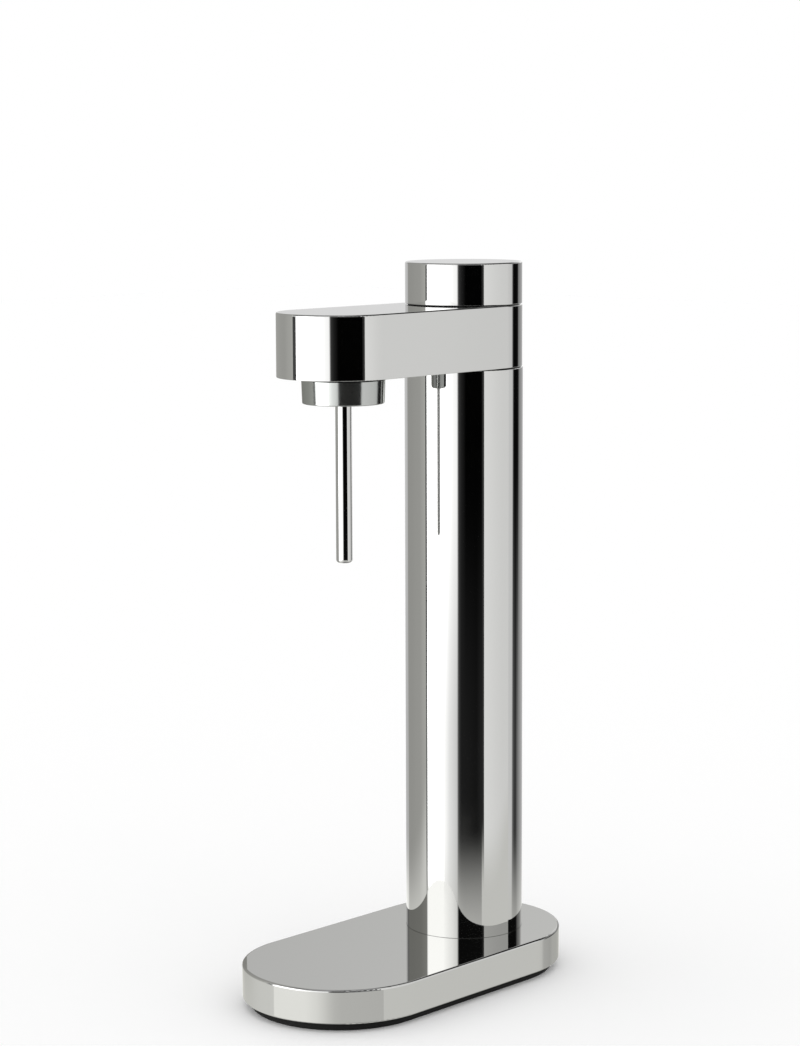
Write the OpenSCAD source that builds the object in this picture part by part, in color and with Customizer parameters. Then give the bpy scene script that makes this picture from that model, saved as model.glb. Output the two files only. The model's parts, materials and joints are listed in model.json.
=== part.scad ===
// Sparkling water maker: polished steel base, column and arm round a gas cylinder.
// Millimetres, +Z up, the arm and the bottle side face -Y, the column stands at +Y.

/* [Base] */
// Width of the steel base, edge to edge
base_width = 113.5; // [105:0.5:122]
// Height of the steel base without the rubber pad
base_height = 19.5; // [18:0.5:24]
// Thickness of the base's side wall
base_wall = 2.5; // [2:0.1:2.8]
// Thickness of the base's top
base_top_thickness = 3; // [2:0.1:3.5]
// Rounding of the base's upper edge
base_edge_radius = 1.3; // [0.6:0.1:1.8]
// Rounding of the base's lower edge
base_lower_radius = 1; // [0.4:0.1:1.5]
// Thickness of the rubber pad
pad_height = 5; // [3.5:0.5:7]
// Distance of the pad's edge inside the base's edge
pad_inset = 5; // [4:0.5:6]
// Land between the finger opening and the posts of the base
access_land = 0.65; // [0.5:0.05:4]
// Thickness of the plate that closes the base
bottom_plate_thickness = 2; // [1.5:0.1:2.5]
// Thickness of the ballast in the front of the base
ballast_thickness = 9; // [6:0.5:10]

/* [Column] */
// Distance from the column's axis to the axis of the arm's round end
axis_spacing = 105.5; // [102:0.5:112]
// Way between the gas cylinder and the column's wall, bridged by the guide rings
guide_way = 3; // [2.5:0.1:4]
// Wall of the column's tube
column_wall = 1.5; // [1.2:0.1:1.8]
// Rounding of the column's upper edge
column_edge_radius = 0.3; // [0.2:0.1:0.8]
// Column above the base
column_height = 333.3; // [300:0.1:360]
// Dark joint line between the column and the arm
seam_gap = 0.6; // [0.4:0.1:1.2]

/* [Arm] */
// Distance of the arm's side inside the column's side
arm_setback = 0.4; // [0:0.1:1]
// Height of the arm
arm_height = 36; // [34:0.1:40]
// Wall of the arm's shell
arm_wall = 2; // [1.5:0.1:2.2]
// Rounding of the arm's upper edge
arm_edge_radius = 1; // [0.4:0.1:1.2]
// Rounding of the arm's lower edge
arm_lower_radius = 0.3; // [0.2:0.1:0.8]
// Thickness of the plate inside the arm that carries the gas parts
chassis_thickness = 4; // [3.5:0.5:5]

/* [Knob] */
// Distance of the knob's side inside the arm's side
knob_setback = 0.1; // [0:0.1:1]
// Height of the knob
knob_height = 24.1; // [23.6:0.1:28]
// Dark joint line between the arm and the knob
knob_gap = 0.4; // [0.4:0.1:1]
// Wall of the knob's cap
knob_wall = 1.8; // [1.4:0.1:2]
// Rounding of the knob's upper edge
knob_edge_radius = 1; // [0.5:0.1:1.6]
// Turn of the knob from closed to full flow, degrees
knob_turn = 60; // [45:1:65]
// Way that the plunger is pushed down over that turn
plunger_travel = 2.4; // [1.8:0.1:2.5]

/* [Nozzle] */
// Distance from the column's axis to the nozzle's axis
nozzle_distance = 101.1; // [98:0.1:104]
// Wall of the bottle collar at its upper edge
collar_wall = 4; // [3:0.1:4.4]
// Narrowing of the collar's radius towards its lower edge
collar_taper = 0.5; // [0.1:0.1:0.8]
// Height of the collar under the arm
collar_height = 15; // [13.5:0.1:18]
// Diameter of the injector tube
tube_diameter = 9.2; // [8.6:0.1:9.6]
// Injector tube below the arm
tube_drop = 104.8; // [90:0.1:120]
// Clear diameter of the bottle socket
socket_diameter = 35.8; // [32:0.1:39]
// Wall of the threaded insert in the socket
insert_wall = 1.5; // [1.2:0.1:2]

/* [Gas cylinder] */
// Diameter of the gas cylinder
cylinder_diameter = 60; // [54:0.5:66]
// Wall of the gas cylinder
cylinder_wall = 3; // [2.4:0.1:4]
// Foot of the cylinder above the table
cylinder_recess = 7; // [5:0.5:9]
// Diameter of the cylinder valve's screw thread
valve_thread = 21; // [20:0.1:21.4]

/* [Fasteners] */
// Thread of the larger screws and studs
screw_size = 4; // [3.6:0.1:4.2]
// Thread of the smaller screws
small_screw_size = 3; // [2.6:0.1:3.2]

/* [Fits] */
// Radial clearance of a turning or sliding fit
running_clearance = 0.05; // [0.03:0.01:0.08]
// Clearance between pieces that are screwed or bonded together
seat_clearance = 0.1; // [0.06:0.01:0.15]
// Clearance between the cam and its follower
cam_clearance = 0.15; // [0.12:0.01:0.25]

/* [Hidden] */
$fn = 96;
over = 1;

// plan
axis_y = axis_spacing / 2;
nozzle_y = axis_y - nozzle_distance;
base_r = base_width / 2;
pan_r = base_r - base_wall;
pad_r = base_r - pad_inset;
plate_r = pan_r - seat_clearance;
cylinder_r = cylinder_diameter / 2;
column_bore_r = cylinder_r + guide_way;
column_r = column_bore_r + column_wall;
arm_r = column_r - arm_setback;
arm_bore_r = arm_r - arm_wall;
knob_r = arm_r - knob_setback;
knob_bore_r = knob_r - knob_wall;

// heights
base_top = pad_height + base_height;
pan_top = base_top - base_top_thickness;
plate_top = pad_height + bottom_plate_thickness;
column_top = base_top + column_height;
arm_bottom = column_top + seam_gap;
arm_top = arm_bottom + arm_height;
chassis_top = arm_bottom + chassis_thickness;
knob_bottom = arm_top + knob_gap;
knob_top = knob_bottom + knob_height;
collar_bottom = arm_bottom - collar_height;
tube_bottom = arm_bottom - tube_drop;

// base
post_r = 3.4;
post_wall_gap = 0.8;
post_way = 0.5;
post_ring = pan_r - post_r - post_wall_gap;
post_angle = 45;
plate_screw_length = 9;
post_sites = [
    for (side = [1, -1])
        each [
            [side * post_ring * cos(post_angle), axis_y + post_ring * sin(post_angle)],
            [side * post_ring, 0],
            [side * post_ring * cos(post_angle), -axis_y - post_ring * sin(post_angle)]
        ]
];
access_r = post_ring - post_r - access_land;
ballast_screw_x = 24;
ballast_screw_y = 6 - axis_y;
ballast_sites = [[ballast_screw_x, ballast_screw_y], [-ballast_screw_x, ballast_screw_y]];
ballast_screw_length = ballast_thickness - 1;
ballast_rear = 24;
ballast_way = 2;
pad_edge_radius = 0.8;
pad_relief_r = 36;
pad_relief_depth = 1.2;

// column
flange_thickness = 4.5;
flange_bottom = pan_top - flange_thickness;
stud_offset = 6;
stud_ring = column_r + stud_offset;
stud_count = 6;
stud_angle = 30;
stud_end = 1;
screw_r = screw_size / 2;
nut_r = screw_size;
nut_height = screw_size * 0.8;
flange_land = 1.3;
flange_r = stud_ring + nut_r + flange_land;
stud_bottom = flange_bottom - nut_height - stud_end;
head_ring_height = 6;
head_ring_r = 16.6;
head_screw_count = 4;
head_screw_angle = 45;
guide_ring_height = 10;
guide_play = 0.35;
guide_bore_r = cylinder_r + guide_play;
guide_lead = 1.5;
guide_lead_height = 3;
guide_lift = 2;
guide_drop = 11.5;
gasket_lap = 0.2;
gasket_way = 0.4;

// gas cylinder
seat_drop = 0.4;
seat_z = arm_bottom - seat_drop;
valve_height = 32;
neck_r = 13;
neck_height = 12;
neck_top = seat_z - valve_height;
shoulder_top = neck_top - neck_height;
shoulder_radius = 17;
foot_radius = 6;
foot_extra = 3;
foot_dish = 2.5;
lower_guide_z = base_top + guide_lift;
upper_guide_z = shoulder_top - shoulder_radius - guide_drop - guide_ring_height;
neck_bore_r = 8;
valve_collar_r = 14;
valve_collar_height = 8;
valve_stem_r = neck_bore_r - seat_clearance;
valve_stem_length = 20;
thread_r = valve_thread / 2 - seat_clearance;
pin_r = 1.5;
pin_bore_r = 2;
pin_drop = 0.5;
pin_top = seat_z - pin_drop;
plug_r = 3.4;
plug_taper = 1;
plug_bore_r = 4.4;
plug_top = neck_top + 1;
plug_height = 5;
plug_way = 2;
burst_port_r = 2.6;
burst_port_depth = 1.5;
gasket_thickness = 2;
gasket_hole_r = 3.4;

// arm
knob_land = 6.5;
shell_opening_r = knob_r - knob_land;
arm_post_r = 3.6;
arm_post_inset = 6.4;
arm_post_x = arm_bore_r - arm_post_inset;
arm_post_rear = 13;
arm_post_front = -14;
arm_post_sites = [for (x = [arm_post_x, -arm_post_x]) for (y = [arm_post_rear, arm_post_front]) [x, y]];
arm_screw_length = 10;
small_r = small_screw_size / 2;

// valve head
head_socket_r = 15;
head_socket_depth = 17;
head_flange_way = 2.1;
head_flange_r = arm_bore_r - head_flange_way;
head_screw_inset = 7;
head_screw_ring_r = head_flange_r - head_screw_inset;
head_flange_height = 6;
head_flange_top = chassis_top + head_flange_height;
head_screw_length = 16;
gas_nut_r = 8;
gas_nut_way = 0.6;
gas_nut_gap = 0.3;
port_z = head_flange_top + gas_nut_r + gas_nut_way;
head_height = 23;
head_top = chassis_top + head_height;
chamber_r = 5;
chamber_roof = 6;
chamber_top = head_top - chamber_roof;
stem_r = 3.5;
seal_depth = 3;
seal_z = head_top - seal_depth;
seal_wire_r = 0.9;
seal_ring_r = stem_r + seal_wire_r + running_clearance / 4;
seal_groove_r = seal_ring_r + seal_wire_r + seat_clearance;
seal_groove_half = seal_wire_r + 2 * seat_clearance;
guide_r = 10;
guide_bore = 7;
guide_gap = 2;
guide_top = knob_top - knob_wall - guide_gap;
port_boss_r = 6;
port_spigot_r = 4.8;
port_boss_reach = 19;
port_reach = 26;
line_r = 3;
line_bore_r = 1.8;
line_depth = 6;
line_end_gap = 0.5;
gas_nut_length = 9;

// plunger and cam
follower_lift = 5.2;
follower_z = knob_bottom + follower_lift;
follower_r = 2;
follower_half = 15.5;
follower_fit = 0.01;
plunger_tip_r = pin_r - seat_clearance;
plunger_tip_length = 8;
plunger_head_above = 5;
plunger_head_below = 6;
plunger_head_top = follower_z + plunger_head_above;
plunger_head_bottom = follower_z - plunger_head_below;
slot_play = 0.4;
slot_top = follower_z + follower_r + slot_play;
slot_bottom = follower_z - follower_r - plunger_travel - slot_play;
cam_gap = 1.2;
cam_inner_r = guide_r + cam_gap;
cam_outer_r = 16.5;
cam_inset = 0.15;
cam_root = 0.5;
cam_rise = plunger_travel / knob_turn;
cam_z = follower_z + follower_r + cam_clearance;
cam_margin = 12;
cam_wall = 6;
cam_steps = 24;
web_lift = 6;
web_bottom = follower_z + web_lift;
web_thickness = 3;
hub_boss_r = 14;
guide_tip = 3;
hub_boss_top = guide_top - guide_tip;
circlip_height = 1.2;
circlip_groove_depth = 0.8;
circlip_reach = 2.6;
circlip_opening = 5;
circlip_groove_r = guide_r - circlip_groove_depth;
circlip_r = guide_r + circlip_reach;
hub_skirt_r = knob_bore_r - seat_clearance;
hub_skirt_wall = 2;
hub_skirt_root = 0.5;
web_hole_r = 4;
web_hole_count = 6;
web_hole_ring = (cam_outer_r + hub_skirt_r - hub_skirt_wall) / 2;
knob_lower_radius = 0.3;
glide_thickness = knob_gap - 2 * seat_clearance;
glide_inset = 1.6;
glide_land = 0.8;
spring_angle_low = 240;
spring_angle_high = 120;
torsion_r = 13;
torsion_wire_r = 0.8;
torsion_turns = 2 + 2 / 3;
torsion_way = 0.5;
leg_bend = 0.9;
leg_play = 0.15;
leg_depth = 4;
torsion_low = head_top + torsion_wire_r + leg_bend;
torsion_high = follower_z - follower_r - plunger_travel - torsion_wire_r - torsion_way;
plunger_spring_r = 5.3;
plunger_spring_wire_r = 0.55;
plunger_spring_turns = 4;

// nozzle
socket_r = socket_diameter / 2;
spigot_r = socket_r + insert_wall;
collar_bore_r = spigot_r + seat_clearance;
collar_r = collar_bore_r + collar_wall;
collar_rounding = 0.6;
collar_joint = 0.4;
collar_joint_depth = 0.8;
collar_lip = 0.8;
lip_way = 0.4;
cup_step = 0.6;
cup_r = socket_r - cup_step;
cup_drop = 0.4;
cup_top = arm_bottom - cup_drop;
insert_bottom = collar_bottom + collar_lip;
insert_height = 5.2;
spigot_bottom = insert_bottom + insert_height;
seal_thickness = 2.5;
seal_r = cup_r - seat_clearance;
seal_inner_r = 10.6;
tube_r = tube_diameter / 2;
tube_bore_r = 1.6;
tube_tip_radius = 2;
tube_seat = 4;
tube_top = chassis_top + tube_seat;
orifice_r = 0.5;
orifice_length = 4;
injector_screw_way = 2.6;
injector_screw_ring = spigot_r + injector_screw_way;
injector_flange_land = 3.5;
injector_flange_r = injector_screw_ring + injector_flange_land;
injector_flange_height = 5;
injector_flange_top = chassis_top + injector_flange_height;
injector_screw_angles = [-90, 30, 150];
injector_body_r = 13;
injector_height = 22;
injector_top = chassis_top + injector_height;
injector_screw_length = 8;
lug_count = 3;
lug_reach = 1.2;
lug_root = 0.4;
lug_height = 2;
lug_angle = 44;
lug_first = 0.6;
lug_rise = 0.5;

// relief valve
relief_x = 8.4;
relief_bore_r = 3.2;
relief_floor = 4;
relief_seat = chassis_top + relief_floor;
relief_vent_r = 1.2;
poppet_r = relief_bore_r - running_clearance;
poppet_height = 5;
poppet_nose = 1;
poppet_taper = 0.8;
poppet_stem_r = 1.1;
poppet_lift = 1.5;
poppet_play = 0.5;
relief_plug = 4;
relief_plug_bottom = injector_top - relief_plug;
poppet_stem_top = relief_plug_bottom - poppet_lift - poppet_play;
relief_spring_r = 2.1;
relief_wire_r = 0.35;
relief_turns = 6;
relief_head_r = 4.6;
relief_head_height = 3;

// clear way between the curls of each spring
torsion_gap = (torsion_high - torsion_low) / torsion_turns - 2 * torsion_wire_r;
plunger_gap = (plunger_head_bottom - head_top - 2 * plunger_spring_wire_r) / plunger_spring_turns
    - 2 * plunger_spring_wire_r;
relief_gap = (relief_plug_bottom - relief_seat - poppet_height - 2 * relief_wire_r) / relief_turns
    - 2 * relief_wire_r;
echo(torsion_gap = torsion_gap, plunger_gap = plunger_gap, relief_gap = relief_gap);

// colours
polished = [0.80, 0.80, 0.79];
satin = [0.68, 0.68, 0.67];
rubber = [0.08, 0.08, 0.08];
brass = [0.72, 0.58, 0.30];
black_plastic = [0.12, 0.12, 0.13];
alloy = [0.62, 0.64, 0.66];
zinc = [0.60, 0.61, 0.62];
iron = [0.30, 0.30, 0.31];

module at_column() {
    translate([0, axis_y, 0]) children();
}

module at_nozzle() {
    translate([0, nozzle_y, 0]) children();
}

module around(count, radius, first = 0) {
    for (i = [0 : count - 1])
        rotate([0, 0, first + 360 * i / count]) translate([radius, 0, 0]) children();
}

module head_screw_ring() {
    around(head_screw_count, head_screw_ring_r, head_screw_angle) children();
}

module sites(points) {
    for (p = points)
        translate([p[0], p[1], 0]) children();
}

module rod(r, low, high) {
    translate([0, 0, low]) cylinder(r = r, h = high - low);
}

module ring(outer, inner, low, high) {
    difference() {
        rod(outer, low, high);
        rod(inner, low - over, high + over);
    }
}

// half section with rounded outer corners
module edge_profile(w, h, lower, upper) {
    difference() {
        square([w, h]);
        if (upper > 0)
            translate([w - upper, h - upper]) difference() {
                square(upper + over);
                circle(upper);
            }
        if (lower > 0)
            translate([w - lower, lower]) rotate(-90) difference() {
                square(lower + over);
                circle(lower);
            }
    }
}

// oblong with two round ends on the axes at +-span / 2
module oblong(r, span, low, high, lower = 0, upper = 0) {
    translate([0, 0, low]) {
        translate([0, span / 2, 0])
            rotate_extrude(angle = 180) edge_profile(r, high - low, lower, upper);
        translate([0, -span / 2, 0]) rotate([0, 0, 180])
            rotate_extrude(angle = 180) edge_profile(r, high - low, lower, upper);
        translate([0, span / 2, 0]) rotate([90, 0, 0]) linear_extrude(span) {
            edge_profile(r, high - low, lower, upper);
            mirror([1, 0]) edge_profile(r, high - low, lower, upper);
        }
    }
}

module sector(inner, outer, low, high, first, angle) {
    translate([0, 0, low]) rotate([0, 0, first]) rotate_extrude(angle = angle)
        translate([inner, 0]) square([outer - inner, high - low]);
}

// pan head screw with a hex socket, seated at height seat and pointing down
module pan_screw(r, length, seat) {
    difference() {
        union() {
            rod(r, seat - length, seat + 0.5);
            rod(r * 1.75, seat, seat + r * 1.3);
        }
        translate([0, 0, seat + r * 0.5]) cylinder(r = r * 0.8, h = r + over, $fn = 6);
    }
}

// countersunk screw with a hex socket, flush with height face and pointing up
module flat_screw(r, length, face) {
    difference() {
        union() {
            translate([0, 0, face]) cylinder(r1 = r * 1.85, r2 = r, h = r * 0.85);
            rod(r, face + r * 0.5, face + length);
        }
        translate([0, 0, face - over]) cylinder(r = r * 0.75, h = over + r * 0.6, $fn = 6);
    }
}

module flat_screw_hole(r, face, high) {
    translate([0, 0, face]) cylinder(r1 = r * 1.85 + seat_clearance, r2 = r + seat_clearance, h = r * 0.85);
    rod(r + seat_clearance, face - over, high);
}

// round wire along points that keep clear of the Z axis
function unit(v) = v / norm(v);
function outward(p) = unit([p[0], p[1], 0]);
function along(pts, i) = unit(pts[min(i + 1, len(pts) - 1)] - pts[max(i - 1, 0)]);
function coil(r, low, high, turns, first = 0, steps = 12) = [
    for (i = [0 : round(turns * steps)])
        let (t = i / round(turns * steps), a = first + 360 * turns * t)
        [r * cos(a), r * sin(a), low + (high - low) * t]
];

module wire(pts, r, sides = 6) {
    last = len(pts) - 1;
    points = [
        for (i = [0 : last])
            let (o = outward(pts[i]), s = unit(cross(along(pts, i), o)))
            for (k = [0 : sides - 1])
                pts[i] + r * (cos(360 * k / sides) * o + sin(360 * k / sides) * s)
    ];
    sides_faces = [
        for (i = [0 : last - 1])
            for (k = [0 : sides - 1])
                let (a = i * sides + k, b = i * sides + (k + 1) % sides)
                each [[a, b + sides, b], [a, a + sides, b + sides]]
    ];
    start_face = [for (k = [0 : sides - 1]) k];
    end_face = [for (k = [sides - 1 : -1 : 0]) last * sides + k];
    polyhedron(points = points, faces = concat([start_face, end_face], sides_faces), convexity = 6);
}

module foot_pad() {
    color(rubber) difference() {
        oblong(pad_r, axis_spacing, 0, pad_height, lower = pad_edge_radius);
        at_column() rod(access_r, -over, pad_height + over);
        translate([0, -axis_y, 0]) rod(pad_relief_r, -over, pad_relief_depth);
    }
}

module bottom_plate() {
    color(zinc) difference() {
        oblong(plate_r, axis_spacing, pad_height, plate_top);
        at_column() rod(access_r, pad_height - over, plate_top + over);
        sites(post_sites) flat_screw_hole(small_r, pad_height, plate_top + over);
        sites(ballast_sites) flat_screw_hole(small_r, pad_height, plate_top + over);
    }
}

module bottom_screws() {
    color(zinc) sites(post_sites) flat_screw(small_r, plate_screw_length, pad_height);
}

module ballast_plate() {
    color(iron) difference() {
        oblong(pan_r - 1, axis_spacing, plate_top, plate_top + ballast_thickness);
        at_column() rod(flange_r + ballast_way, plate_top - over, pan_top);
        translate([-base_r, axis_y - ballast_rear, plate_top - over])
            cube([base_width, base_width, base_height]);
        sites(post_sites) rod(post_r + post_way, plate_top - over, pan_top);
        sites(ballast_sites)
            rod(small_r + running_clearance, plate_top - over, plate_top + ballast_screw_length);
    }
}

module ballast_screws() {
    color(zinc) sites(ballast_sites) flat_screw(small_r, ballast_screw_length, pad_height);
}

module base_shell() {
    color(polished) difference() {
        union() {
            difference() {
                oblong(base_r, axis_spacing, pad_height, base_top, base_lower_radius, base_edge_radius);
                oblong(pan_r, axis_spacing, pad_height - over, pan_top);
            }
            sites(post_sites) rod(post_r, plate_top, pan_top + over);
            at_column() around(stud_count, stud_ring, stud_angle) rod(screw_r, stud_bottom, pan_top + over);
        }
        at_column() rod(column_r + running_clearance, pad_height, base_top + over);
        sites(post_sites) rod(small_r + running_clearance, pad_height, pad_height + plate_screw_length + 1);
    }
}

module column_flange() {
    color(zinc) difference() {
        at_column() difference() {
            ring(flange_r, column_r + running_clearance, flange_bottom, pan_top);
            around(stud_count, stud_ring, stud_angle)
                rod(screw_r + seat_clearance, flange_bottom - over, pan_top + over);
        }
        sites(post_sites) rod(post_r + post_way, flange_bottom - over, pan_top + over);
    }
}

module flange_nuts() {
    color(zinc) at_column() around(stud_count, stud_ring, stud_angle) difference() {
        translate([0, 0, flange_bottom - nut_height]) cylinder(r = nut_r, h = nut_height, $fn = 6);
        rod(screw_r + running_clearance, flange_bottom - nut_height - over, flange_bottom + over);
    }
}

module column_tube() {
    color(polished) at_column() difference() {
        translate([0, 0, flange_bottom]) rotate_extrude()
            edge_profile(column_r, column_top - flange_bottom, 0, column_edge_radius);
        rod(column_bore_r, flange_bottom - over, column_top + over);
    }
}

module column_head_ring() {
    color(zinc) at_column() difference() {
        ring(column_bore_r - running_clearance, head_ring_r, column_top - head_ring_height, column_top);
        head_screw_ring()
            rod(screw_r + running_clearance, column_top - head_ring_height - over, column_top + over);
    }
}

module guide_ring(low) {
    at_column() difference() {
        ring(column_bore_r - running_clearance, guide_bore_r, low, low + guide_ring_height);
        translate([0, 0, low - over])
            cylinder(r1 = guide_bore_r + guide_lead * (1 + over / guide_lead_height),
                r2 = guide_bore_r - guide_lead * over / guide_lead_height, h = guide_lead_height + 2 * over);
    }
}

module lower_guide_ring() {
    color(black_plastic) guide_ring(lower_guide_z);
}

module upper_guide_ring() {
    color(black_plastic) guide_ring(upper_guide_z);
}

module gas_cylinder() {
    color(alloy) at_column() difference() {
        union() {
            translate([0, 0, cylinder_recess]) rotate_extrude()
                edge_profile(cylinder_r, shoulder_top - cylinder_recess, foot_radius, shoulder_radius);
            rod(neck_r, shoulder_top - over, neck_top);
        }
        translate([0, 0, cylinder_recess + cylinder_wall + foot_extra]) rotate_extrude()
            edge_profile(cylinder_r - cylinder_wall,
                shoulder_top - cylinder_recess - 2 * cylinder_wall - foot_extra,
                foot_radius, shoulder_radius - cylinder_wall);
        rod(neck_bore_r, shoulder_top - cylinder_wall - over, neck_top + over);
        rod(cylinder_r - 2 * foot_radius, cylinder_recess - over, cylinder_recess + foot_dish);
    }
}

module cylinder_valve() {
    color(brass) at_column() difference() {
        union() {
            rod(valve_stem_r, neck_top - valve_stem_length, neck_top + over);
            rod(valve_collar_r, neck_top, neck_top + valve_collar_height);
            rod(thread_r, neck_top + valve_collar_height - over, seat_z);
        }
        rod(pin_bore_r, neck_top, seat_z + over);
        rod(plug_bore_r, neck_top - valve_stem_length - over, plug_top + plug_way);
        translate([0, 0, neck_top + valve_collar_height / 2]) rotate([90, 0, 0])
            translate([0, 0, valve_collar_r - burst_port_depth])
                cylinder(r = burst_port_r, h = burst_port_depth + over, $fn = 6);
    }
}

module cylinder_valve_pin() {
    color(brass) at_column() {
        rod(pin_r, plug_top - over, pin_top);
        translate([0, 0, plug_top - plug_height])
            cylinder(r1 = plug_r - plug_taper, r2 = plug_r, h = plug_height);
    }
}

module cylinder_gasket() {
    color(rubber) at_column()
        ring(valve_thread / 2 - seat_clearance, gasket_hole_r, seat_z, seat_z + gasket_thickness);
}

module seam_gasket() {
    color(rubber) at_column() difference() {
        ring(column_bore_r + gasket_lap, head_ring_r + gasket_way, column_top, arm_bottom);
        head_screw_ring() rod(screw_r + gasket_way, column_top - over, arm_bottom + over);
    }
}

module arm_chassis() {
    color(alloy) difference() {
        oblong(arm_bore_r - seat_clearance, axis_spacing, arm_bottom, chassis_top);
        at_column() {
            rod(head_socket_r + seat_clearance, arm_bottom - over, chassis_top + over);
            head_screw_ring() rod(screw_r + seat_clearance, arm_bottom - over, chassis_top + over);
        }
        at_nozzle() {
            rod(spigot_r + seat_clearance, arm_bottom - over, chassis_top + over);
            for (a = injector_screw_angles)
                rotate([0, 0, a]) translate([injector_screw_ring, 0, 0])
                    rod(small_r + running_clearance, arm_bottom - over, chassis_top + over);
        }
        sites(arm_post_sites) flat_screw_hole(small_r, arm_bottom, chassis_top + over);
    }
}

module arm_shell() {
    color(polished) difference() {
        union() {
            difference() {
                oblong(arm_r, axis_spacing, arm_bottom, arm_top, arm_lower_radius, arm_edge_radius);
                oblong(arm_bore_r, axis_spacing, arm_bottom - over, arm_top - arm_wall);
            }
            sites(arm_post_sites) rod(arm_post_r, chassis_top, arm_top - arm_wall / 2);
        }
        at_column() rod(shell_opening_r, arm_bottom, arm_top + over);
        sites(arm_post_sites) rod(small_r + running_clearance, arm_bottom, arm_bottom + arm_screw_length + 1);
    }
}

module arm_screws() {
    color(zinc) sites(arm_post_sites) flat_screw(small_r, arm_screw_length, arm_bottom);
}

module head_screws() {
    color(zinc) at_column() head_screw_ring()
        pan_screw(screw_r, head_screw_length, head_flange_top);
}

// side boss and threaded spigot for the gas line, pointing to -Y from the axis
module line_port(z) {
    translate([0, 0, z]) rotate([90, 0, 0]) {
        cylinder(r = port_boss_r, h = port_boss_reach);
        cylinder(r = port_spigot_r, h = port_reach);
    }
}

module line_port_bore(z, depth) {
    translate([0, 0, z]) rotate([90, 0, 0]) {
        cylinder(r = line_bore_r, h = port_reach + over);
        translate([0, 0, port_reach - depth]) cylinder(r = line_r + seat_clearance, h = depth + over);
    }
}

module valve_head() {
    color(brass) at_column() difference() {
        union() {
            rod(head_socket_r, seat_z - head_socket_depth, chassis_top + over);
            rod(head_flange_r, chassis_top, head_flange_top);
            rod(head_socket_r, head_flange_top - over, head_top);
            rod(guide_r, head_top - over, guide_top);
            line_port(port_z);
        }
        rod(valve_thread / 2, seat_z - head_socket_depth - over, seat_z + gasket_thickness);
        rod(chamber_r, seat_z, chamber_top);
        rod(stem_r + running_clearance, chamber_top - over, head_top + over);
        rod(seal_groove_r, seal_z - seal_groove_half, seal_z + seal_groove_half);
        rod(guide_bore + running_clearance, head_top, guide_top + over);
        line_port_bore(port_z, line_depth);
        head_screw_ring()
            rod(screw_r + seat_clearance, chassis_top - over, head_flange_top + over);
        translate([-guide_r - over, -follower_r - running_clearance, slot_bottom])
            cube([2 * (guide_r + over), 2 * (follower_r + running_clearance), slot_top - slot_bottom]);
        ring(guide_r + over, circlip_groove_r, hub_boss_top + seat_clearance,
            hub_boss_top + circlip_height + 3 * seat_clearance);
        rotate([0, 0, spring_angle_low]) translate([torsion_r, 0, 0])
            rod(torsion_wire_r + leg_play, head_top - leg_depth, head_top + over);
    }
}

module plunger() {
    color(brass) at_column() difference() {
        union() {
            rod(plunger_tip_r, pin_top, seat_z + plunger_tip_length);
            rod(stem_r, seat_z + plunger_tip_length - over, plunger_head_bottom + over);
            rod(guide_bore, plunger_head_bottom, plunger_head_top);
        }
        translate([0, 0, follower_z]) rotate([0, 90, 0])
            cylinder(r = follower_r + follower_fit, h = 2 * (guide_bore + over), center = true);
    }
}

module plunger_seal() {
    color(rubber) at_column() translate([0, 0, seal_z]) rotate_extrude()
        translate([seal_ring_r, 0]) circle(seal_wire_r);
}

module plunger_spring() {
    curls = coil(plunger_spring_r, head_top + plunger_spring_wire_r,
        plunger_head_bottom - plunger_spring_wire_r, plunger_spring_turns);
    color(satin) at_column() wire(curls, plunger_spring_wire_r);
}

module follower_pin() {
    color(satin) at_column() translate([0, 0, follower_z]) rotate([0, 90, 0])
        cylinder(r = follower_r, h = 2 * follower_half, center = true);
}

module torsion_spring() {
    low_leg = [for (z = [head_top - leg_depth + leg_bend, torsion_low - leg_bend])
        [torsion_r * cos(spring_angle_low), torsion_r * sin(spring_angle_low), z]];
    high_leg = [for (z = [torsion_high + leg_bend, web_bottom + web_thickness])
        [torsion_r * cos(spring_angle_high), torsion_r * sin(spring_angle_high), z]];
    curls = coil(torsion_r, torsion_low, torsion_high, torsion_turns, spring_angle_low, 16);
    inner_curls = [for (i = [1 : len(curls) - 2]) curls[i]];
    color(satin) at_column() wire(concat(low_leg, inner_curls, high_leg), torsion_wire_r, 8);
}

// helical cam under the knob's web, lower by cam_rise for each degree
module cam_ramp() {
    first = -cam_margin - over;
    span = knob_turn + 2 * (cam_margin + over);
    inner = cam_inner_r + cam_inset;
    outer = cam_outer_r - cam_inset;
    top = web_bottom + cam_root;
    points = [
        for (i = [0 : cam_steps])
            let (a = first + span * i / cam_steps, z = cam_z - cam_rise * a)
            each [
                [inner * cos(a), inner * sin(a), z], [outer * cos(a), outer * sin(a), z],
                [outer * cos(a), outer * sin(a), top], [inner * cos(a), inner * sin(a), top]
            ]
    ];
    faces = [
        for (i = [0 : cam_steps - 1])
            for (k = [0 : 3])
                let (a = 4 * i + k, b = 4 * i + (k + 1) % 4)
                each [[a, b, b + 4], [a, b + 4, a + 4]]
    ];
    low_end = [3, 2, 1, 0];
    high_end = [for (k = [0 : 3]) 4 * cam_steps + k];
    polyhedron(points = points, faces = concat([low_end, high_end], faces), convexity = 4);
}

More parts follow.
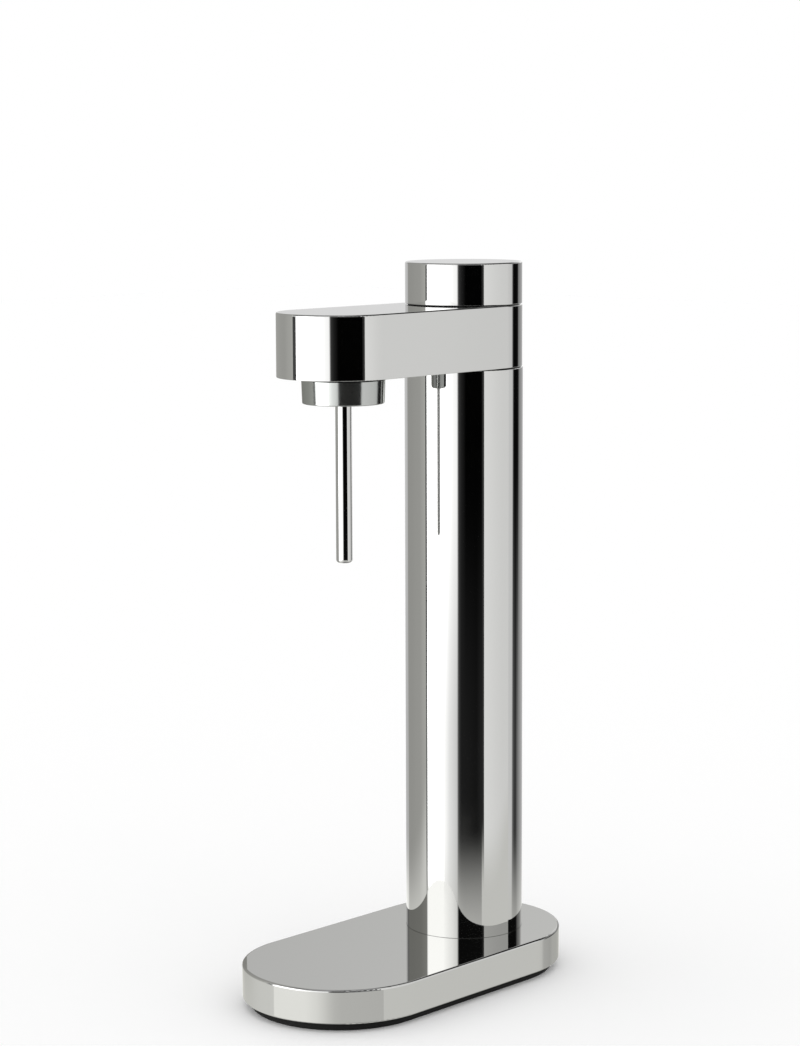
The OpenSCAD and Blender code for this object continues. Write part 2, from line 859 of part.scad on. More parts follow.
module knob_hub() {
    color(black_plastic) at_column() difference() {
        union() {
            rod(hub_skirt_r - hub_skirt_root, web_bottom, web_bottom + web_thickness);
            ring(hub_skirt_r, hub_skirt_r - hub_skirt_wall, knob_bottom,
                knob_top - knob_wall - 2 * seat_clearance);
            rod(hub_boss_r, web_bottom, hub_boss_top);
            for (turn = [0, 180])
                rotate([0, 0, turn]) {
                    cam_ramp();
                    sector(cam_inner_r, cam_outer_r, follower_z - follower_r, web_bottom + 1,
                        -cam_margin - cam_wall, cam_wall);
                    sector(cam_inner_r, cam_outer_r, follower_z - follower_r - plunger_travel, web_bottom + 1,
                        knob_turn + cam_margin, cam_wall);
                }
        }
        rod(guide_r + running_clearance, web_bottom - over, knob_top);
        rotate([0, 0, spring_angle_high]) translate([torsion_r, 0, 0])
            rod(torsion_wire_r + leg_play, web_bottom - over, web_bottom + web_thickness + leg_bend);
        around(web_hole_count, web_hole_ring, spring_angle_high / 4)
            rod(web_hole_r, web_bottom - over, web_bottom + web_thickness + over);
    }
}

module knob_cap() {
    color(polished) at_column() difference() {
        translate([0, 0, knob_bottom]) rotate_extrude()
            edge_profile(knob_r, knob_height, knob_lower_radius, knob_edge_radius);
        rod(knob_bore_r, knob_bottom - over, knob_top - knob_wall);
    }
}

module knob_circlip() {
    low = hub_boss_top + 2 * seat_clearance;
    color(satin) at_column() difference() {
        ring(circlip_r, circlip_groove_r + running_clearance, low, low + circlip_height - seat_clearance);
        translate([-circlip_opening / 2, 0, low - over])
            cube([circlip_opening, circlip_r + over, circlip_height + 2 * over]);
    }
}

module glide_ring() {
    color(black_plastic) at_column()
        ring(knob_r - glide_inset, shell_opening_r + glide_land, arm_top, arm_top + glide_thickness);
}

module gas_tube() {
    rear = axis_y - port_reach + line_depth - line_end_gap;
    front = nozzle_y + port_reach - line_depth + line_end_gap;
    color(satin) translate([0, rear, port_z]) rotate([90, 0, 0]) difference() {
        cylinder(r = line_r, h = rear - front);
        translate([0, 0, -over]) cylinder(r = line_bore_r, h = rear - front + 2 * over);
    }
}

// nut that holds the gas line on a port, pointing to -Y from the axis
module gas_nut() {
    translate([0, 0, port_z]) rotate([90, 0, 0]) translate([0, 0, port_boss_reach + gas_nut_gap])
        difference() {
            cylinder(r = gas_nut_r, h = gas_nut_length, $fn = 6);
            translate([0, 0, -over])
                cylinder(r = port_spigot_r + running_clearance, h = port_reach - port_boss_reach + over);
            translate([0, 0, -over]) cylinder(r = line_r + seat_clearance, h = gas_nut_length + 2 * over);
        }
}

module rear_gas_nut() {
    color(brass) at_column() gas_nut();
}

module front_gas_nut() {
    color(brass) at_nozzle() rotate([0, 0, 180]) gas_nut();
}

module injector_head() {
    color(brass) at_nozzle() difference() {
        union() {
            rod(spigot_r, spigot_bottom, chassis_top + over);
            rod(injector_flange_r, chassis_top, injector_flange_top);
            rod(injector_body_r, injector_flange_top - over, injector_top);
            rotate([0, 0, 180]) line_port(port_z);
        }
        rod(cup_r, spigot_bottom - over, cup_top);
        rod(tube_r + running_clearance, cup_top - over, tube_top);
        rod(line_bore_r, tube_top - over, port_z);
        rotate([0, 0, 180]) line_port_bore(port_z, line_depth);
        for (a = injector_screw_angles)
            rotate([0, 0, a]) translate([injector_screw_ring, 0, 0])
                rod(small_r + seat_clearance, chassis_top - over, injector_flange_top + over);
        translate([relief_x, 0, 0]) {
            rod(relief_vent_r, cup_top - over, relief_seat + over);
            rod(relief_bore_r, relief_seat, injector_top + over);
        }
    }
}

module injector_screws() {
    color(zinc) at_nozzle() for (a = injector_screw_angles)
        rotate([0, 0, a]) translate([injector_screw_ring, 0, 0])
            pan_screw(small_r, injector_screw_length, injector_flange_top);
}

module nozzle_collar() {
    low_r = collar_r - collar_taper;
    color(satin) at_nozzle() difference() {
        union() {
            translate([0, 0, collar_bottom + collar_rounding])
                cylinder(r1 = low_r, r2 = collar_r, h = collar_height - collar_rounding);
            translate([0, 0, collar_bottom]) rotate_extrude()
                edge_profile(low_r, collar_rounding + collar_taper, collar_rounding, 0);
        }
        rod(collar_bore_r, insert_bottom, arm_bottom + over);
        rod(socket_r + lip_way, collar_bottom - over, arm_bottom);
        ring(collar_r + over, collar_r - collar_joint_depth, arm_bottom - collar_joint, arm_bottom + over);
    }
}

module bottle_thread_insert() {
    color(black_plastic) at_nozzle() {
        ring(spigot_r, socket_r, insert_bottom, spigot_bottom);
        for (i = [0 : lug_count - 1])
            let (low = insert_bottom + lug_first + i * lug_rise)
            sector(socket_r - lug_reach, socket_r + lug_root, low, low + lug_height,
                360 * i / lug_count, lug_angle);
    }
}

module bottle_seal() {
    color(rubber) at_nozzle() ring(seal_r, seal_inner_r, cup_top - seal_thickness, cup_top);
}

module injector_tube() {
    color(polished) at_nozzle() difference() {
        translate([0, 0, tube_bottom]) rotate_extrude()
            edge_profile(tube_r, tube_top - tube_bottom, tube_tip_radius, 0);
        rod(tube_bore_r, tube_bottom + orifice_length, tube_top + over);
        rod(orifice_r, tube_bottom - over, tube_bottom + orifice_length + over);
    }
}

module relief_poppet() {
    color(black_plastic) at_nozzle() translate([relief_x, 0, 0]) {
        translate([0, 0, relief_seat]) cylinder(r1 = poppet_r - poppet_taper, r2 = poppet_r, h = poppet_nose);
        rod(poppet_r, relief_seat + poppet_nose, relief_seat + poppet_height);
        rod(poppet_stem_r, relief_seat + poppet_height - over, poppet_stem_top);
    }
}

module relief_spring() {
    curls = coil(relief_spring_r, relief_seat + poppet_height + relief_wire_r,
        relief_plug_bottom - relief_wire_r, relief_turns);
    color(satin) at_nozzle() translate([relief_x, 0, 0]) wire(curls, relief_wire_r);
}

module relief_cap() {
    color(brass) at_nozzle() translate([relief_x, 0, 0]) difference() {
        union() {
            rod(relief_bore_r - running_clearance, relief_plug_bottom, injector_top + over);
            translate([0, 0, injector_top]) cylinder(r = relief_head_r, h = relief_head_height, $fn = 6);
        }
        rod(relief_vent_r, relief_plug_bottom - over, injector_top + relief_head_height + over);
    }
}

foot_pad();
bottom_plate();
bottom_screws();
ballast_plate();
ballast_screws();
base_shell();
column_flange();
flange_nuts();
column_tube();
column_head_ring();
lower_guide_ring();
upper_guide_ring();
gas_cylinder();
cylinder_valve();
cylinder_valve_pin();
cylinder_gasket();
seam_gasket();
arm_chassis();
arm_shell();
arm_screws();
head_screws();
valve_head();
plunger();
plunger_seal();
plunger_spring();
follower_pin();
torsion_spring();
knob_hub();
knob_cap();
knob_circlip();
glide_ring();
gas_tube();
rear_gas_nut();
front_gas_nut();
injector_head();
injector_screws();
nozzle_collar();
bottle_thread_insert();
bottle_seal();
injector_tube();
relief_poppet();
relief_spring();
relief_cap();
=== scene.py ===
import bpy
import json
import math
from mathutils import Matrix, Vector


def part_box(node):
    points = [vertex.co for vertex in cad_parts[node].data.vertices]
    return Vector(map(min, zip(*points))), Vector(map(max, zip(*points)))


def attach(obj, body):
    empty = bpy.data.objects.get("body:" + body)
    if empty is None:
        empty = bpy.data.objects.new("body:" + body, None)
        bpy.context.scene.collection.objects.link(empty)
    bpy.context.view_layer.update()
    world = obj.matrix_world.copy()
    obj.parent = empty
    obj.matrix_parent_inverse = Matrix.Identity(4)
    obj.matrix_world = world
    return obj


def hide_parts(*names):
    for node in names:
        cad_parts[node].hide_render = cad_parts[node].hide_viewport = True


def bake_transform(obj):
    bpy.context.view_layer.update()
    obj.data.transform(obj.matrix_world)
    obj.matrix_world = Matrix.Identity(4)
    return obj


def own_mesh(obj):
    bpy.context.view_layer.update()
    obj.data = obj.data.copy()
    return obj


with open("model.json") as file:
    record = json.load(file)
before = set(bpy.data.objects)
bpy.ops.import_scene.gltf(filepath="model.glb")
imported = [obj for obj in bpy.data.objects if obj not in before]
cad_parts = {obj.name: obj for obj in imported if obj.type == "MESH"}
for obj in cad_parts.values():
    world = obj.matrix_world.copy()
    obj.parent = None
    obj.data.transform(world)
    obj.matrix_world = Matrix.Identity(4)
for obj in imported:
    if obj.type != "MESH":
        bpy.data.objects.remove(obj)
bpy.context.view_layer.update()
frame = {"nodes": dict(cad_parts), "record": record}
nodes = frame["nodes"]
print("frame loaded:", len(nodes), "CAD nodes")

metre = 1000  # in millimetres: a pattern's scale is metre / its real size
mixShare, mixFrom, mixTo, mixOut = 0, 6, 7, 2  # sockets of a Mix node that mixes colours
up = Vector((0, 0, 1))


def linear(hexText):  # sRGB hex to linear RGBA
    parts = [int(hexText[i:i + 2], 16) / 255 for i in (1, 3, 5)]
    return tuple(p / 12.92 if p <= 0.04045 else ((p + 0.055) / 1.055) ** 2.4 for p in parts) + (1.0,)


def warmGrey(grey, tint=1.0):  # a studio's grey, with a little less blue where tint is below 1
    return grey, grey, grey * tint, 1.0


def addNode(tree, kind, values=None, links=None, stops=None, **settings):
    # one node with its settings, socket values, links and, on a colour ramp, its stops
    node = tree.nodes.new(kind)
    for key, value in settings.items():
        setattr(node, key, value)
    for socket, value in (values or {}).items():
        node.inputs[socket].default_value = value
    for socket, source in (links or {}).items():
        tree.links.new(source, node.inputs[socket])
    if stops:
        marks = node.color_ramp.elements
        while len(marks) > 1:
            marks.remove(marks[-1])
        for i, (place, colour) in enumerate(stops):
            mark = marks[0] if i == 0 else marks.new(place)
            mark.position = place
            mark.color = colour
    return node


def newMaterial(name, colour, metallic):
    mat = bpy.data.materials.new(name)
    mat.use_nodes = True
    tree = mat.node_tree
    shader = tree.nodes["Principled BSDF"]
    shader.inputs["Base Color"].default_value = linear(colour)
    shader.inputs["Metallic"].default_value = metallic
    coord = addNode(tree, "ShaderNodeTexCoord")
    return mat, tree, shader, coord.outputs["Object"]


# stainless steel, buffed to a mirror: clear reflections that waver a little, very faint wiping marks
polishedSteel = {
    "colour": "#c6c6c5", "metallic": 1.0, "roughness": (0.018, 0.05),
    "smudge": 30, "smudgeDetail": 3.0, "smudgeRange": (0.35, 0.7),  # mm from one wiping mark to the next
    "wave": 45, "waveDepth": 0.00003,  # mm between the waves that buffing leaves, and their depth in metres
    "edgeTint": "#ffffff", "sheetTint": "#d7d7d5",  # light at a low angle, and the same on the base's sheet
    "joint": "#8f8f8e", "paintedShadeDull": 0.12,  # painted shade: the dark, duller hairline at the column's foot
    "paintedShadeHeight": 0.0002, "paintedShadeLift": 0.00001,  # in metres, and the lift keeps it off the base's top
}


def makePolishedSteel(name, edgeTint):
    steel = polishedSteel
    mat, tree, shader, place = newMaterial(name, steel["colour"], steel["metallic"])
    shader.inputs["Specular Tint"].default_value = linear(edgeTint)
    smudges = addNode(tree, "ShaderNodeTexNoise",
                      {"Scale": metre / steel["smudge"], "Detail": steel["smudgeDetail"]}, {"Vector": place})
    least, most = steel["smudgeRange"]
    clear, dull = steel["roughness"]
    spread = addNode(tree, "ShaderNodeMapRange",
                     {"From Min": least, "From Max": most, "To Min": clear, "To Max": dull},
                     {"Value": smudges.outputs["Fac"]})
    # painted shade: a hairline where the column stands on the base, darker and duller than the steel above
    # it, for the shade in the seam
    split = addNode(tree, "ShaderNodeSeparateXYZ", links={"Vector": place})
    half = steel["paintedShadeHeight"] / 2
    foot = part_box("base_shell")[1][2] + half + steel["paintedShadeLift"]
    paintedShadeLine = addNode(tree, "ShaderNodeMath", {1: foot, 2: half}, {0: split.outputs["Z"]}, operation="COMPARE")
    paintedShadeTone = addNode(tree, "ShaderNodeMix", {mixFrom: linear(steel["colour"]), mixTo: linear(steel["joint"])},
                   {mixShare: paintedShadeLine.outputs[0]}, data_type="RGBA")
    tree.links.new(paintedShadeTone.outputs[mixOut], shader.inputs["Base Color"])
    gloss = addNode(tree, "ShaderNodeMath", {1: steel["paintedShadeDull"]},
                    {0: paintedShadeLine.outputs[0], 2: spread.outputs["Result"]}, operation="MULTIPLY_ADD")
    tree.links.new(gloss.outputs[0], shader.inputs["Roughness"])
    waves = addNode(tree, "ShaderNodeTexNoise", {"Scale": metre / steel["wave"], "Detail": 0.0},
                    {"Vector": place})
    bump = addNode(tree, "ShaderNodeBump", {"Strength": 1.0, "Distance": steel["waveDepth"]},
                   {"Height": waves.outputs["Fac"]})
    tree.links.new(bump.outputs["Normal"], shader.inputs["Normal"])
    return mat


# stainless steel turned on a lathe: fine rings that draw each reflection out along the axis
turnedSteel = {
    "colour": "#aeb0ae", "metallic": 1.0, "roughness": 0.15, "spread": 0.04, "edgeTint": "#d7d7d5",
    "stretch": 0.3, "turn": 0.25,  # how far a reflection is drawn out, and which way, in turns
    "ring": 0.4, "ringDetail": 2.0,  # mm from ring to ring, about four times as coarse as real ones, to show
    "joint": "#1a1a1a", "paintedShadeHeight": 0.0018,  # painted shade: the dark line under the arm, in metres
}


def makeTurnedSteel():
    steel = turnedSteel
    mat, tree, shader, place = newMaterial("turnedStainlessSteel", steel["colour"], steel["metallic"])
    shader.inputs["Specular Tint"].default_value = linear(steel["edgeTint"])
    shader.inputs["Anisotropic"].default_value = steel["stretch"]
    shader.inputs["Anisotropic Rotation"].default_value = steel["turn"]
    along = addNode(tree, "ShaderNodeTangent", direction_type="RADIAL", axis="Z")
    tree.links.new(along.outputs["Tangent"], shader.inputs["Tangent"])
    split = addNode(tree, "ShaderNodeSeparateXYZ", links={"Vector": place})
    rings = addNode(tree, "ShaderNodeTexNoise",
                    {"Scale": metre / steel["ring"], "Detail": steel["ringDetail"]},
                    {"W": split.outputs["Z"]}, noise_dimensions="1D")
    spread = addNode(tree, "ShaderNodeMapRange", {"To Min": steel["roughness"] - steel["spread"],
                                                  "To Max": steel["roughness"] + steel["spread"]},
                     {"Value": rings.outputs["Fac"]})
    tree.links.new(spread.outputs["Result"], shader.inputs["Roughness"])
    # painted shade: the dark line where the bottle collar meets the arm, for the shadow under the arm
    half = steel["paintedShadeHeight"] / 2
    paintedShadeLine = addNode(tree, "ShaderNodeMath", {1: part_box("arm_shell")[0][2] - half, 2: half},
                   {0: split.outputs["Z"]}, operation="COMPARE")
    paintedShadeTone = addNode(tree, "ShaderNodeMix", {mixFrom: linear(steel["colour"]), mixTo: linear(steel["joint"])},
                   {mixShare: paintedShadeLine.outputs[0]}, data_type="RGBA")
    tree.links.new(paintedShadeTone.outputs[mixOut], shader.inputs["Base Color"])
    return mat


# pieces inside and underneath; each grain is in mm, several times as coarse as the real one, to show
plain = {
    # cold formed and plated: pale bluish grey, softly glossy
    "zincPlatedSteel": {"colour": "#b4b6b8", "metallic": 1.0, "roughness": 0.35, "grain": 0.6},
    # drawn wire, lightly oiled: darker grey with long soft lights
    "springSteel": {"colour": "#9b9da0", "metallic": 1.0, "roughness": 0.3, "grain": 0.5},
    # pressed in a mould: nearly black and dull, with no clear light on it
    "blackRubber": {"colour": "#161616", "metallic": 0.0, "roughness": 0.75, "grain": 0.6, "gloss": 0.2},
    # injection moulded: black with a soft sheen
    "blackNylon": {"colour": "#232325", "metallic": 0.0, "roughness": 0.5, "grain": 0.8},
    # turned and milled: warm yellow with small bright lights
    "machinedBrass": {"colour": "#c9ab6a", "metallic": 1.0, "roughness": 0.28, "grain": 0.5},
    # drawn, then anodised: pale and evenly satin
    "anodisedAluminium": {"colour": "#b9bcbf", "metallic": 1.0, "roughness": 0.34, "grain": 0.7},
    # cast in sand: dark, matt and grainy
    "castIron": {"colour": "#3b3b3d", "metallic": 0.6, "roughness": 0.65, "grain": 1.5},
}
grainLook = {"detail": 2.0, "strength": 0.15, "depth": 0.0001, "spread": 0.06}


def makePlain(name):
    # fine grain of the made surface, as a little bump and a little change in gloss
    kind = plain[name]
    mat, tree, shader, place = newMaterial(name, kind["colour"], kind["metallic"])
    if "gloss" in kind:
        shader.inputs["Specular IOR Level"].default_value = kind["gloss"]
    grains = addNode(tree, "ShaderNodeTexNoise",
                     {"Scale": metre / kind["grain"], "Detail": grainLook["detail"]}, {"Vector": place})
    bump = addNode(tree, "ShaderNodeBump",
                   {"Strength": grainLook["strength"], "Distance": grainLook["depth"]},
                   {"Height": grains.outputs["Fac"]})
    tree.links.new(bump.outputs["Normal"], shader.inputs["Normal"])
    spread = addNode(tree, "ShaderNodeMapRange", {"To Min": kind["roughness"] - grainLook["spread"],
                                                  "To Max": kind["roughness"] + grainLook["spread"]},
                     {"Value": grains.outputs["Fac"]})
    tree.links.new(spread.outputs["Result"], shader.inputs["Roughness"])
    return mat


finish = {
    "polished_steel": makePolishedSteel("polishedStainlessSteel", polishedSteel["edgeTint"]),
    "satin_steel": makeTurnedSteel(),
    "zinc_steel": makePlain("zincPlatedSteel"),
    "spring_steel": makePlain("springSteel"),
    "black_rubber": makePlain("blackRubber"),
    "black_plastic": makePlain("blackNylon"),
    "brass": makePlain("machinedBrass"),
    "aluminium": makePlain("anodisedAluminium"),
    "cast_iron": makePlain("castIron"),
}
slotOf = {part["node"]: part["material_slot"] for part in frame["record"]["subparts"]}
for name, node in nodes.items():
    node.data.materials.clear()
    node.data.materials.append(finish[slotOf[name]])
# the pressed sheet of the base gives back less light at a low angle
nodes["base_shell"].data.materials[0] = makePolishedSteel("polishedSheetSteel", polishedSteel["sheetTint"])
print("materials:", len(bpy.data.materials))

# the wound springs: centre, ring and wire in metres, turns, and the heights they fill
springs = {
    "plungerSpring": {
        "node": "plunger_spring", "centre": (0, 0.05275), "ring": 0.0053, "wire": 0.00055, "turns": 4,
        "low": 0.3854, "high": 0.394, "joint": "plunger_push", "travel": 0.0024, "fixed": 0.3854},
    "reliefSpring": {
        "node": "relief_spring", "centre": (0.0084, -0.04835), "ring": 0.0021, "wire": 0.00035, "turns": 6,
        "low": 0.3714, "high": 0.3804, "joint": "relief_lift", "travel": 0.0015, "fixed": 0.3804},
    "torsionSpring": {
        "node": "torsion_spring", "centre": (0, 0.05275), "ring": 0.013, "wire": 0.0008, "turns": 2 + 2 / 3,
        "low": 0.3863, "high": 0.3951, "first": 240, "bend": 0.0009, "legs": (0.3823, 0.409)},
}
# how finely wire is modelled; an open end's points lie within endReach times the wire's radius
wireMesh = {"sides": 12, "stepsPerTurn": 28, "bendSteps": 5, "endReach": 1.2, "weld": 1e-6, "smooth": 40}


def bendLeg(piece, spring, angle, z, way):  # the wire's open end there turns down or up into a straight leg
    out = Vector((math.cos(angle), math.sin(angle), 0))
    spot = out * spring["ring"] + up * z
    bend = way * spring["bend"]
    for v in piece.data.vertices:
        v.select = (v.co - spot).length < spring["wire"] * wireMesh["endReach"]
    for e in piece.data.edges:
        e.select = all(piece.data.vertices[i].select for i in e.vertices)
    bpy.ops.object.mode_set(mode="EDIT")
    bpy.ops.mesh.spin(steps=wireMesh["bendSteps"], angle=-math.pi / 2, center=spot + up * bend, axis=out)
    reach = spring["legs"][0 if way < 0 else 1] - z - bend
    bpy.ops.mesh.extrude_region_move(TRANSFORM_OT_translate={"value": (0, 0, reach)})
    bpy.ops.object.mode_set(mode="OBJECT")


def windSpring(name):
    spring = springs[name]
    ring, wire = spring["ring"], spring["wire"]
    low, high = spring["low"] + wire, spring["high"] - wire
    hasLegs = "legs" in spring
    spare = spring["bend"] / ring if hasLegs else 0  # the angle that each bent leg takes from the winding
    turned = spring["turns"] * math.tau - 2 * spare
    bpy.ops.object.select_all(action="DESELECT")
    bpy.ops.mesh.primitive_circle_add(vertices=wireMesh["sides"], radius=wire, location=(ring, 0, low),
                                      rotation=(math.pi / 2, 0, 0))
    piece = bpy.context.object
    piece.name = name
    bpy.ops.object.transform_apply(location=True, rotation=True, scale=True)
    winding = piece.modifiers.new("winding", "SCREW")
    winding.angle = turned
    winding.screw_offset = high - low
    winding.steps = winding.render_steps = round(wireMesh["stepsPerTurn"] * spring["turns"])
    bpy.ops.object.modifier_apply(modifier="winding")
    if hasLegs:
        bendLeg(piece, spring, 0, low, -1)
        bendLeg(piece, spring, turned, high, 1)
    bpy.ops.object.mode_set(mode="EDIT")
    bpy.ops.mesh.select_all(action="SELECT")
    bpy.ops.mesh.remove_doubles(threshold=wireMesh["weld"])
    bpy.ops.mesh.fill_holes(sides=0)
    bpy.ops.mesh.normals_make_consistent(inside=False)
    bpy.ops.object.mode_set(mode="OBJECT")
    bpy.ops.object.shade_smooth_by_angle(angle=math.radians(wireMesh["smooth"]))
    piece.location = (*spring["centre"], 0)
    piece.rotation_euler = (0, 0, math.radians(spring.get("first", 0)) + spare)
    bpy.ops.object.transform_apply(location=True, rotation=True, scale=True)
    piece.data.materials.append(finish["spring_steel"])
    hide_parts(spring["node"])
    if hasLegs:  # the torsion spring, which twists with the knob on the real carbonator; here its placing is baked into its mesh
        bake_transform(piece)
    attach(piece, "frame")
    if not hasLegs:  # a coil spring, pressed together by its plunger or poppet on the real carbonator; here it gets a mesh of its own
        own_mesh(piece)


# the oblong pad under the base, in metres: a hole right through for the gas cylinder, and a shallow recess
footPad = {"radius": 0.05175, "spacing": 0.1055, "height": 0.005, "sides": 160,
           "hole": 0.046, "holeDepth": 0.01, "recess": 0.036, "recessDepth": 0.0012, "cutSides": 120,
           "edge": 0.0008, "edgeSteps": 4, "edgeAngle": 60, "smooth": 35}


def makeFootPad():
    pad = footPad
    half = pad["spacing"] / 2
    bpy.ops.object.select_all(action="DESELECT")
    bpy.ops.mesh.primitive_cylinder_add(vertices=pad["sides"], radius=pad["radius"], depth=pad["height"],
                                        location=(0, 0, pad["height"] / 2),
                                        rotation=(0, 0, math.pi / pad["sides"]))
    piece = bpy.context.object
    piece.name = "rubberFootPad"
    bpy.ops.object.transform_apply(location=True, rotation=True, scale=True)
    for way in (1, -1):  # pull the disc out to the oblong of the base
        bpy.ops.object.mode_set(mode="EDIT")
        bpy.ops.mesh.select_all(action="DESELECT")
        bpy.ops.object.mode_set(mode="OBJECT")
        for v in piece.data.vertices:
            v.select = v.co.y * way > 0
        bpy.ops.object.mode_set(mode="EDIT")
        bpy.ops.transform.translate(value=(0, way * half, 0))
        bpy.ops.object.mode_set(mode="OBJECT")
    cutters = []
    for radius, y, deep in ((pad["hole"], half, pad["holeDepth"]),
                            (pad["recess"], -half, pad["recessDepth"])):
        bpy.ops.object.select_all(action="DESELECT")
        bpy.ops.mesh.primitive_cylinder_add(vertices=pad["cutSides"], radius=radius, depth=2 * deep,
                                            location=(0, y, 0))  # its lower half is below the pad
        cutters.append(bpy.context.object)
    bpy.ops.object.select_all(action="DESELECT")
    piece.select_set(True)
    bpy.context.view_layer.objects.active = piece
    for cutter in cutters:
        cut = piece.modifiers.new("cut", "BOOLEAN")
        cut.operation = "DIFFERENCE"
        cut.solver = "EXACT"
        cut.object = cutter
        bpy.ops.object.modifier_apply(modifier="cut")
        bpy.data.objects.remove(cutter)
    edges = piece.modifiers.new("edges", "BEVEL")
    edges.width = pad["edge"]
    edges.segments = pad["edgeSteps"]
    edges.limit_method = "ANGLE"
    edges.angle_limit = math.radians(pad["edgeAngle"])
    bpy.ops.object.modifier_apply(modifier="edges")
    bpy.ops.object.shade_smooth_by_angle(angle=math.radians(pad["smooth"]))
    piece.data.materials.append(finish["black_rubber"])
    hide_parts("foot_pad")
    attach(piece, "frame")


for name in springs:
    windSpring(name)
makeFootPad()
print("springs and foot pad modelled")

# the photo's camera: degrees round the column from -Y towards +X, metres from its axis and above the floor,
# and how it is aimed, in degrees
view = {"azimuth": 41.43, "distance": 1.6003, "height": 0.4825, "pitch": 7.71, "yaw": -1.34, "roll": -0.22,
        "lens": 94.67, "sensor": 36, "columnY": 0.05275}


def placeCamera():
    azimuth, pitch, yaw, roll = (math.radians(view[k]) for k in ("azimuth", "pitch", "yaw", "roll"))
    inwards = Vector((-math.sin(azimuth), math.cos(azimuth), 0))
    across = Vector((math.cos(azimuth), math.sin(azimuth), 0))
    ahead = inwards * math.cos(yaw) + across * math.sin(yaw)
    aim = ahead * math.cos(pitch) - up * math.sin(pitch)
    level = Vector((ahead.y, -ahead.x, 0))
    rise = level.cross(aim)
    right = level * math.cos(roll) + rise * math.sin(roll)
    top = rise * math.cos(roll) - level * math.sin(roll)
    data = bpy.data.cameras.new("photoCamera")
    data.sensor_width = view["sensor"]
    data.lens = view["lens"]
    cam = bpy.data.objects.new("photoCamera", data)
    bpy.context.collection.objects.link(cam)
    cam.matrix_world = Matrix((right, top, -aim)).transposed().to_4x4()
    cam.location = Vector((0, view["columnY"], view["height"])) - inwards * view["distance"]
    bpy.context.scene.camera = cam


# what the polished steel sees round the studio, layer by layer from overhead down to the table;
# it stands still whatever the view, so other views show other parts of it;
# "from": heights in degrees between which a layer takes over from the one above it;
# "bands": degrees from the photo's side, left is negative, and brightness, from the back round to the back
studio = {
    "photoSide": 41.43, "overhead": 0.6, "tableTint": 0.96,
    "layers": {
        "ceiling": {"from": (72, 62), "bands": [  # dark, a little paler at the back
            (-180, 0.3), (-120, 0.3), (-80, 0.08), (110, 0.08), (150, 0.3), (180, 0.3)]},
        "ring": {"from": (50, 46), "bands": [  # dull walls, dark on the right: thin dark lines on upper edges
            (-180, 0.75), (-158, 0.75), (-150, 0.32), (-80, 0.32), (-76, 1.0), (-14, 1.0), (-10, 0.3),
            (50, 0.3), (60, 0.15), (98, 0.12), (103, 0.02), (162, 0.02), (170, 0.75), (180, 0.75)]},
        "high": {"from": (31, 27), "bands": [  # dull walls over the panels
            (-180, 0.75), (-158, 0.75), (-150, 0.32), (-80, 0.32), (-76, 1.0), (-14, 1.0), (-10, 0.3),
            (50, 0.3), (60, 0.18), (120, 0.22), (147, 0.45), (158, 0.75), (180, 0.75)]},
        "flag": {"from": (18.8, 17.8), "bands": [  # soft panel and long black flag, for the base's top
            (-180, 0.99), (-170, 0.8), (-158, 0.8), (-150, 0.32), (-80, 0.32), (-76, 3.6), (-45, 3.6),
            (-40, 3.4), (-31, 3.0), (-23, 2.7), (-13.5, 2.15), (-11, 0.01), (127, 0.01), (133, 0.3),
            (147, 0.6), (158, 1.15), (170, 1.2), (180, 0.99)]},
        "rise": {"from": (15.2, 14), "bands": [  # walls between the flag and the panels
            (-180, 1.06), (-170, 0.86), (-158, 0.86), (-150, 0.32), (-80, 0.32), (-76, 1.0), (-14, 1.0),
            (-10, 0.3), (50, 0.3), (60, 0.3), (147, 0.65), (160, 1.25), (170, 1.28), (180, 1.06)]},
        "brow": {"from": (5.2, 4), "bands": [  # the soft panel's wide upper edge
            (-180, 0.76), (-158, 0.74), (-102, 0.76), (-98, 2.7), (-40, 2.7), (-30, 2.1), (-20, 1.72),
            (-12.8, 1.6), (-10.8, 0.11), (-4, 0.02), (4, 0.001), (50, 0.001), (58, 0.02), (61, 1.09),
            (109.5, 0.88), (114, 0.02), (127, 0.004), (134, 0.015), (138, 0.34), (150, 0.45), (165, 0.58),
            (180, 0.76)]},
        "upper": {"from": (1.5, 0.5), "bands": [  # back, dark gap, soft panel, flag, pale panel, flag, back
            (-180, 0.74), (-158, 0.72), (-100, 0.76), (-96, 0.09), (-66, 0.09), (-64, 2.7), (-40, 2.7),
            (-30, 2.1), (-20, 1.72), (-12.8, 1.6), (-10.8, 0.11), (-8.5, 0.05), (-4, 0.02), (4, 0.001),
            (50, 0.001), (58, 0.02), (61, 1.09), (80, 1.03), (95, 0.99), (109.5, 0.88), (112, 0.3),
            (114, 0.02), (117, 0.004), (127, 0.004), (134, 0.015), (138, 0.34), (150, 0.45), (165, 0.58),
            (180, 0.74)]},
        "lower": {"from": (-6, -13), "bands": [  # the same, weaker towards the table
            (-180, 0.62), (-158, 0.62), (-120, 0.72), (-100, 0.76), (-96, 0.25), (-66, 0.25), (-64, 2.3),
            (-40, 1.85), (-28, 1.3), (-13.5, 0.98), (-11, 0.1), (-6, 0.02), (25, 0.012), (37, 0.03),
            (58, 0.07), (61, 1.09), (80, 1.03), (109, 0.88), (113, 0.16), (123, 0.03), (135, 0.3),
            (147, 0.48), (160, 0.55), (180, 0.62)]},
        "table": {"from": (-14, -16.4), "bands": [  # pale table top, with faint images of the panels
            (-180, 1.25), (-160, 1.4), (-150, 1.35), (-140, 1.15), (-128, 1.0), (-115, 0.94), (-100, 0.93),
            (-80, 1.0), (-66, 1.2), (-60, 1.27), (-40, 1.27), (-26, 1.14), (-18, 1.0), (-12, 0.88),
            (-6, 0.79), (2, 0.74), (57, 0.72), (60, 0.91), (108, 0.86), (113, 0.66), (128, 0.63),
            (136, 0.75), (165, 0.86), (180, 1.25)]},
        "below": {"from": (-45, -70), "bands": [(-180, 0.45), (180, 0.45)]},  # the table straight below
    },
}


